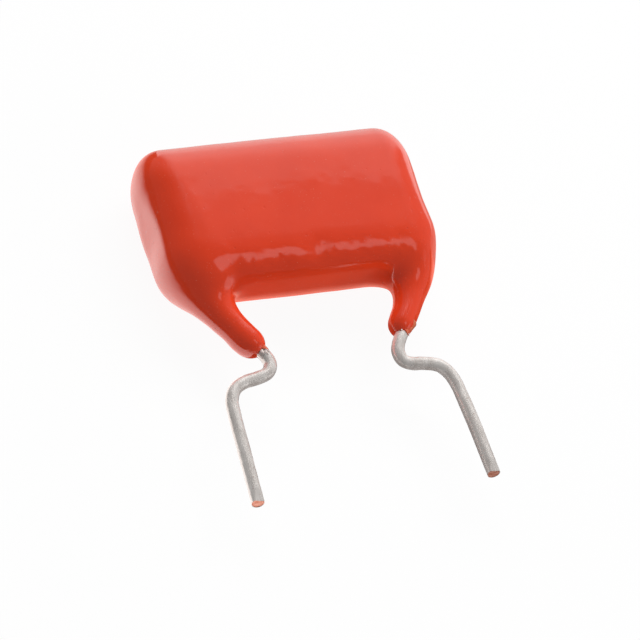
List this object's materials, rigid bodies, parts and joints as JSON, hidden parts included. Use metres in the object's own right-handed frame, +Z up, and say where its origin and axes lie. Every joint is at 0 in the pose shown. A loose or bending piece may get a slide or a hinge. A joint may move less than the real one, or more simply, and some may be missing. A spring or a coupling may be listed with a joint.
{
  "type": "film capacitor",
  "caption": "Radial-lead film capacitor with an orange-red dipped epoxy coat that runs down its kinked, tinned wire leads, lying on its broad face.",
  "frame": {"origin": "middle of the flat back face that the part lies on, at the table", "axes": "+X along the winding from the left to the right end contact, -Y the way the leads leave, +Z up through the body's thickness"},
  "size_m": [0.0174, 0.024, 0.0055],
  "materials": {
    "epoxy": "gloss",
    "film": "satin",
    "spray_metal": "matte",
    "tinned_wire": "satin"
  },
  "bodies": {
    "root": {"epoxy_coat": "epoxy", "film_winding": "film", "left_end_spray": "spray_metal", "right_end_spray": "spray_metal", "left_lead": "tinned_wire", "right_lead": "tinned_wire"}
  },
  "joints": []
}
